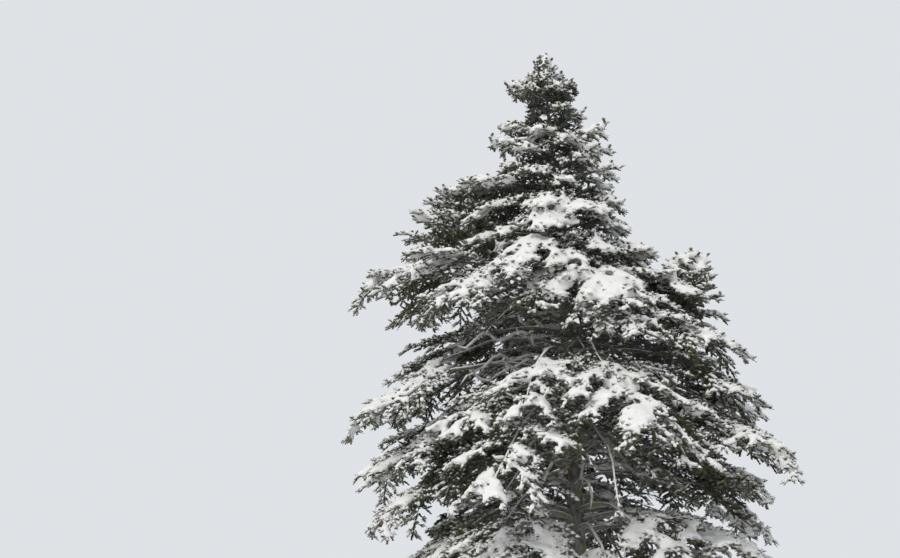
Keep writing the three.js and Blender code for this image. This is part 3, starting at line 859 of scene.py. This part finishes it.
def lumps(starts, ends, width, lift, span):
    """A closed lump of six faces over that span of every run: (points, faces)."""
    right = across_level(ends - starts) * width[:, None]
    top = UP * width[:, None]
    middle = lerp(starts, ends, 0.5 * sum(span)) + UP * lift
    half = 0.5 * (span[1] - span[0]) * (ends - starts)
    corners = [middle - half, middle + half, middle - right, middle + right, middle + top]
    pattern = [[0, 4, 2], [0, 3, 4], [0, 2, 3], [1, 2, 4], [1, 4, 3], [1, 3, 2]]
    return repeated(np.stack(corners, axis=1), pattern)


def grains(starts, ends, width):
    """A closed grain of four faces on every run, blunt at its far end: (points, faces)."""
    right = across_level(ends - starts) * width[:, None]
    blunt = lerp(starts, ends, 0.75) + UP * 0.3 * width[:, None]
    top = lerp(starts, ends, 0.5) + UP * 1.1 * width[:, None]
    corners = [starts, blunt - right, blunt + right, top]
    return repeated(np.stack(corners, axis=1), [[0, 3, 1], [0, 2, 3], [0, 1, 2], [1, 3, 2]])


def ball():
    """A ball of 20 faces: (points, faces)."""
    golden = (1 + 5**0.5) / 2
    loop = [(0, s, t * golden) for s in (-1, 1) for t in (-1, 1)]
    points = np.array(loop + [(y, z, x) for x, y, z in loop] + [(z, x, y) for x, y, z in loop])
    near = np.isclose(np.linalg.norm(points[:, None] - points[None], axis=2), 2)
    faces = []
    for a, b, c in itertools.combinations(range(12), 3):
        if near[a, b] and near[b, c] and near[a, c]:
            out = np.dot(np.cross(points[b] - points[a], points[c] - points[a]), points[a]) > 0
            faces.append((a, b, c) if out else (a, c, b))
    return points / np.linalg.norm(points[0]), np.array(faces)


def blobs(centres, along, half_length, half_width, half_height):
    """An ellipsoid at every centre, its length along a direction: (points, faces)."""
    corners, faces = ball()
    along = unit(along)
    right = across_level(along)
    over = np.cross(right, along)
    axes = (along * half_length[:, None], right * half_width[:, None], over * half_height[:, None])
    points = centres[:, None] + sum(corners[None, :, i, None] * axes[i][:, None] for i in range(3))
    return repeated(points, faces)


def open_to_sky(points, crowd):
    """From 0 to 1, how little of the crowd of needles stands between each point and the snowfall."""
    share = 0
    for slant in SNOW_SLANTS:
        lean = np.array([*slant, 0])
        shifted, others = (p - p[:, 2:] * lean for p in (points, crowd))
        low = np.floor(others.min(0) / SNOW_CELL)
        place = (np.floor(others / SNOW_CELL) - low).astype(int)
        size = place.max(0) + 1
        filled = np.zeros(size)
        np.add.at(filled, tuple(place.T), 1)
        deep = np.pad(filled, ((0, 0), (0, 0), (0, SHELTER_CELLS + 1)))[:, :, ::-1].cumsum(2)[:, :, ::-1]
        above = deep[:, :, 1 : size[2] + 1] - deep[:, :, SHELTER_CELLS + 1 :]
        at = np.clip((np.floor(shifted / SNOW_CELL) - low).astype(int), 0, size - 1)
        share = share + np.exp(-above[tuple(at.T)] / COVER) / len(SNOW_SLANTS)
    return share


# Materials


class Shader:
    """A material under way: its nodes, its links and its surface shader."""

    def __init__(self, name, roughness):
        self.material = bpy.data.materials.new(name)
        self.material.use_nodes = True
        self.nodes = self.material.node_tree.nodes
        self.link = self.material.node_tree.links.new
        self.surface = self.nodes["Principled BSDF"]
        self.surface.inputs["Roughness"].default_value = roughness

    def noise(self, scale, detail=2, stretch=(1, 1, 1)):
        """Noise in metres of the tree, stretched along an axis by a number below 1."""
        place = self.nodes.new("ShaderNodeTexCoord")
        mapping = self.nodes.new("ShaderNodeMapping")
        mapping.inputs["Scale"].default_value = stretch
        self.link(place.outputs["Object"], mapping.inputs["Vector"])
        texture = self.nodes.new("ShaderNodeTexNoise")
        texture.inputs["Scale"].default_value = scale
        texture.inputs["Detail"].default_value = detail
        self.link(mapping.outputs["Vector"], texture.inputs["Vector"])
        return texture.outputs["Fac"]

    def ramp(self, value, low, high, start=0, end=1):
        """From start to end while the value goes from low to high."""
        ramp = self.nodes.new("ShaderNodeMapRange")
        for socket, number in zip(("From Min", "From Max", "To Min", "To Max"), (low, high, start, end)):
            ramp.inputs[socket].default_value = number
        self.link(value, ramp.inputs["Value"])
        return ramp.outputs["Result"]

    def feed(self, socket, colour):
        if isinstance(colour, tuple):
            socket.default_value = (*colour, 1)
        else:
            self.link(colour, socket)

    def mix(self, share, low, high):
        """A colour between two others, each a colour or another node's output."""
        mix = self.nodes.new("ShaderNodeMix")
        mix.data_type = "RGBA"
        self.link(share, mix.inputs["Factor"])
        self.feed(mix.inputs["A"], low)
        self.feed(mix.inputs["B"], high)
        return mix.outputs["Result"]

    def upward(self):
        """The share of the surface's direction that points up."""
        facing = self.nodes.new("ShaderNodeNewGeometry")
        split = self.nodes.new("ShaderNodeSeparateXYZ")
        self.link(facing.outputs["Normal"], split.inputs[0])
        return split.outputs["Z"]

    def paint(self, colour):
        self.feed(self.surface.inputs["Base Color"], colour)

    def roughen(self, value, start, end):
        self.link(self.ramp(value, 0.3, 0.7, start, end), self.surface.inputs["Roughness"])

    def bump(self, height, distance):
        """Relief of that depth, in metres."""
        bump = self.nodes.new("ShaderNodeBump")
        bump.inputs["Distance"].default_value = distance
        self.link(height, bump.inputs["Height"])
        self.link(bump.outputs["Normal"], self.surface.inputs["Normal"])


def needle_material(name, colour):
    """Waxy needles of one colour, with ribs along them."""
    shader = Shader(name, roughness=0.5)
    shader.paint(colour)
    ribs = shader.noise(160)
    shader.roughen(ribs, 0.4, 0.75)
    shader.bump(ribs, 0.002)
    return shader.material


def snow_material():
    """Settled snow: soft drifts, fine grain, and a little grey where it has crusted."""
    shader = Shader("snow", roughness=0.6)
    crust = shader.ramp(shader.noise(7, detail=3), 0.35, 0.7)
    shader.paint(shader.mix(crust, SNOW_COLOUR, CRUST_COLOUR))
    grain = shader.noise(55, detail=4)
    shader.roughen(grain, 0.5, 0.8)
    shader.bump(grain, 0.008)
    return shader.material


def floor_material():
    """Plain, pale and matt."""
    shader = Shader("floor", roughness=0.9)
    shader.paint(FLOOR_COLOUR)
    shader.roughen(shader.noise(2), 0.85, 0.95)
    return shader.material


def bark_material(name, colours):
    """Bark with paler plates, dark furrows and lichen, and snow blown on to what faces up."""
    shader = Shader(name, roughness=0.85)
    plates = shader.noise(14, detail=6, stretch=(1, 1, 0.4))
    tone = shader.mix(shader.ramp(plates, 0.35, 0.65), *colours)
    lichen = shader.ramp(shader.noise(3.3), 0.56, 0.64)
    mossy = shader.mix(lichen, tone, LICHEN_COLOUR)
    drift = shader.ramp(shader.upward(), 0.2, 0.55)
    shader.paint(shader.mix(drift, mossy, SNOW_COLOUR))
    shader.roughen(plates, 0.95, 0.7)
    shader.bump(plates, 0.02)
    return shader.material


# Assembly


def snow_load(points, crowd, key):
    """How deep the snow lies at each point."""
    deep = EVEN_SHARE + sum(more * patches(points, size) for size, more in PATCHES)
    luck = LOAD_LUCK * (chance(np.arange(len(points)), key) - 0.5)
    for middle, radius, gone in WINDY_SPOTS:
        near = np.clip(2 * (1 - np.linalg.norm(points - middle, axis=1) / radius), 0, 1)
        deep = deep * (1 - gone * near)
    return open_to_sky(points, crowd) * deep + luck


def held(ways):
    """The share of the snow that stays on twigs with these directions."""
    return 1 + HELD_LEVEL - HELD_LOSS * np.abs(ways[:, 2])


def add_needles(runs, load, materials):
    """Sets of needles on every run, in pieces from the ground up: their tops and the pieces."""
    middle = runs.mean(0)
    rows = np.arange(len(middle))
    out = np.linalg.norm(middle - trunk_axis(middle[:, 2]), axis=1)
    edge = np.interp(-middle[:, 2], [-tier[0] for tier in TIERS], [max(tier[3:]) for tier in TIERS])
    snowy = load > DUSTED
    inner = (out < INNER_SHARE * edge) & ~snowy
    bare = inner & (middle[:, 2] < INNER_BELOW) & (chance(rows, 12) > INNER_KEPT)
    spray = np.floor(40 * patches(middle, TINT_PATCH, 5))
    tint = np.searchsorted(np.cumsum(TINT_SHARES), 0.999 * chance(spray, 9))
    tint[(load > RIMED) & (chance(spray, 10) < RIME_SHARE)] = len(TINT_SHARES)
    # Inner needles take the paler tint, painted light that lifts the shade inside the crown
    tint[inner] = len(TINT_SHARES) + 1
    kinds = ((OPEN_NEEDLES, ~inner & ~snowy), (SNOWY_NEEDLES, snowy), (INNER_NEEDLES, inner & ~bare))
    cost = sum(teeth * len(ranks) * chosen for (teeth, _, ranks), chosen in kinds)
    upward = np.argsort(middle[:, 2])
    parts = math.ceil(cost.sum() / PIECE_LIMIT)
    part = np.empty(len(rows), int)
    part[upward] = np.minimum(np.cumsum(cost[upward]) * parts // cost.sum(), parts - 1)
    pieces = []
    for number in range(parts):
        here = part == number
        meshes = [needles(runs, np.flatnonzero(chosen & here), *kind) for kind, chosen in kinds]
        points, faces = merged([mesh[:2] for mesh in meshes])
        of = np.concatenate([mesh[2] for mesh in meshes])
        name = f"needles_{number + 1}"
        piece = make_piece(name, points, faces, materials, "needles", kinds=tint[of], smooth=False)
        pieces.append((middle[here, 2].max(), piece))
    return pieces


def twig_lumps(twigs, rows, load, swell=1):
    """Two lumps of snow on each of those twigs."""
    share = np.concatenate([between(*seat, rows, 14) for seat in LUMP_SEATS])
    rows = np.tile(rows, len(LUMP_SEATS))
    size = np.clip((load[rows] - LUMPED) / LUMP_RANGE, 0, 1)
    height = swell * lerp(*LUMP_HEIGHT, size)
    return blobs(
        twigs.at(share, rows) + UP * (LUMP_RISE * height)[:, None],
        twigs.way(share, rows),
        np.minimum(LUMP_SHARE * twigs.length[rows], between(*LUMP_LENGTH, rows, 15)),
        swell * lerp(*LUMP_WIDTH, size),
        height,
    )


def pad_lumps(boughs):
    """The lumps of the deepest pads, strewn along the ridges of their boughs."""
    rows = enumerate(SHORT_BOUGHS)
    short = [(SHORT_SEED + number, *SHORT_PAD_SPAN, *row[4:]) for number, row in rows if row[4:]]
    meshes = []
    for seed, low, high, half_width, depth in PADS + short:
        bough = int(np.flatnonzero(boughs.seed == seed)[0])
        count = math.ceil((high - low) * boughs.length[bough] / PAD_STEP)
        number = np.arange(count)
        share = lerp(low, high, (number + 0.5) / count)
        swell = np.sin(np.pi * lerp(*PAD_ENDS, number / count))
        of = np.full(count, bough)
        aside = between(-PAD_ASIDE, PAD_ASIDE, seed, number) * half_width * swell
        middle = boughs.at(share, of) + boughs.across[of] * aside[:, None]
        lift = UP * (PAD_RISE * depth - PAD_FALL * np.abs(aside))[:, None]
        length = between(*PAD_LENGTH, seed, 100 + number)
        width = half_width * swell * between(*PAD_WIDTH, seed, 200 + number)
        height = depth * between(*PAD_HEIGHT, seed, 300 + number) * lerp(PAD_LOWEST, 1, swell)
        meshes.append(blobs(middle + lift, boughs.way(share, of), length, width, height))
    return merged(meshes)


def soften(piece):
    """Makes the lumps of a piece run together into one smooth blanket."""
    remesh = piece.modifiers.new("merge", "REMESH")
    remesh.mode = "VOXEL"
    remesh.voxel_size = BLANKET_VOXEL
    remesh.use_smooth_shade = True
    smooth = piece.modifiers.new("soften", "SMOOTH")
    smooth.factor = 0.5
    smooth.iterations = 2


boughs = grow_boughs()
leaders = grow_leaders()
spirals = [
    grow_spiral(picked(leaders, [2 * number + 1]), turn, span, LEADER_LIMBS, LEADER_SEED + number)
    for number, (_, turn, *_, span) in enumerate(LEADERS)
]
top_shoot = picked(leaders, [len(leaders) - 1])
spirals.append(grow_spiral(top_shoot, TIP_TURN, TIP_SPAN, TIP_LIMBS, TIP_SEED))
limbs = joined([grow_limbs(boughs), *spirals])
limbs = picked(limbs, ~in_hollow(limbs.root))
twigs = joined([grow_twigs(limbs), grow_ridge_twigs(boughs)])
twigs = picked(twigs, ~in_hollow(twigs.root))
shoots = grow_shoots(twigs)
dead = grow_dead_limbs()
dead_twigs = grow_limbs(dead)
dead_twigs = picked(dead_twigs, chance(dead_twigs.seed, 7) < DEAD_TWIGS)

tints = [needle_material(name, colour) for name, colour in NEEDLE_TINTS.items()]
snow = snow_material()
bark = bark_material("bark", BARK_COLOURS)
twig_bark = bark_material("twig_bark", TWIG_COLOURS)
dead_bark = bark_material("dead_bark", DEAD_COLOURS)

needled = zip((shoots, twigs, limbs, boughs), NEEDLES_FROM)
runs = np.concatenate([needle_runs(growth, first) for growth, first in needled], axis=1)
crowd = runs.mean(0)
load = snow_load(crowd, crowd, 8) * held(unit(runs[1] - runs[0]))
needle_pieces = add_needles(runs, load, tints)

trunk_piece = make_piece("bark_trunk", *trunk_mesh(), [bark], "bark")
bough_tubes = tubes(boughs, sides=8, rings=12, rough=BOUGH_KNOBS)
thick = merged([bough_tubes, tubes(leaders, sides=10, rings=16, rough=BOUGH_KNOBS)])
bough_piece = make_piece("boughs", *thick, [bark], "bark")
make_piece("limbs", *tubes(limbs, sides=3, rings=3), [twig_bark], "bark")
make_piece("twigs", *tubes(twigs, sides=3, rings=1), [twig_bark], "bark")
dead_tubes = tubes(dead, sides=6, rings=14, rough=BOUGH_KNOBS)
dry = merged([dead_tubes, tubes(dead_twigs, sides=4, rings=4)])
make_piece("dead_limbs", *dry, [dead_bark], "bark")

dusted = np.flatnonzero(load > DUSTED)
width = lerp(*DUST_WIDTH, np.clip((load[dusted] - DUSTED) / DUST_RANGE, 0, 1))
make_piece("snow_lines", *grains(*runs[:, dusted], width), [snow], "snow")
bough_runs = needle_runs(joined([boughs, dead]), 0)
bough_runs = bough_runs[:, np.abs(unit(bough_runs[1] - bough_runs[0])[:, 2]) < LINE_SLOPE]
width = between(*LINE_WIDTH, np.arange(bough_runs.shape[1]), 3)
make_piece("snow_on_boughs", *lumps(*bough_runs, width, BOUGH_TIP, LINE_SPAN), [snow], "snow")
rows = np.arange(len(twigs))
middle = np.full(len(rows), 0.5)
twig_load = snow_load(twigs.at(middle, rows), crowd, 9) * held(twigs.way(middle, rows))
laden = twig_load > LADEN
lumped = (twig_load > LUMPED) & ~laden
make_piece("snow_lumps", *twig_lumps(twigs, np.flatnonzero(lumped), twig_load), [snow], "snow")
middle_height = np.median(twigs.root[laden, 2])
high = twigs.root[:, 2] > middle_height
low_pads, high_pads = (
    twig_lumps(twigs, np.flatnonzero(laden & (high == above)), twig_load, LADEN_SWELL)
    for above in (False, True)
)
pads = [
    make_piece("snow_pads_low", *low_pads, [snow], "snow"),
    make_piece("snow_pads_high", *merged([high_pads, pad_lumps(boughs)]), [snow], "snow"),
]
for piece in pads:
    soften(piece)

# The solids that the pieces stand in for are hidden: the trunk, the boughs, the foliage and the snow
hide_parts("trunk")
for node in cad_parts:
    kind = node.split("_")[-1]
    if kind == "bough":
        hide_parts(node)
    if kind in ("foliage", "snow"):
        middle = 0.5 * sum(corner[2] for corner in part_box(node))
        if kind == "foliage":
            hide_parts(node)
        else:
            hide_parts(node)

# Camera, light and floor

camera_data = bpy.data.cameras.new("camera")
camera_data.sensor_width = SENSOR_WIDTH
camera_data.lens = SENSOR_WIDTH * FOCUS_PIXELS / PHOTO_WIDTH
camera_data.clip_end = CAMERA_SIGHT
camera = add_object("camera", camera_data)
camera.location = (0, -CAMERA_BACK, CAMERA_HEIGHT)
camera.rotation_euler = (math.radians(90 + CAMERA_PITCH), 0, math.atan(FOOT_PIXELS / FOCUS_PIXELS))
bpy.context.scene.camera = camera
bpy.context.scene.view_settings.view_transform = "Standard"

sun_data = bpy.data.lights.new("sun", "SUN")
sun_data.energy = SUN_ENERGY
sun_data.color = SUN_COLOUR
sun_data.angle = math.radians(SUN_SPREAD)
sun = add_object("sun", sun_data)
sun.rotation_euler = Vector(SUN_WAY).to_track_quat("-Z", "Y").to_euler()

world = bpy.data.worlds.new("world")
bpy.context.scene.world = world
world.use_nodes = True
sky = world.node_tree.nodes["Background"].inputs
sky["Color"].default_value = (*SKY_COLOUR, 1)
sky["Strength"].default_value = SKY_STRENGTH

bpy.ops.mesh.primitive_circle_add(vertices=64, radius=FLOOR_RADIUS, fill_type="NGON")
floor = bpy.context.object
floor.name = "floor"
floor.data.materials.append(floor_material())

bpy.context.view_layer.update()
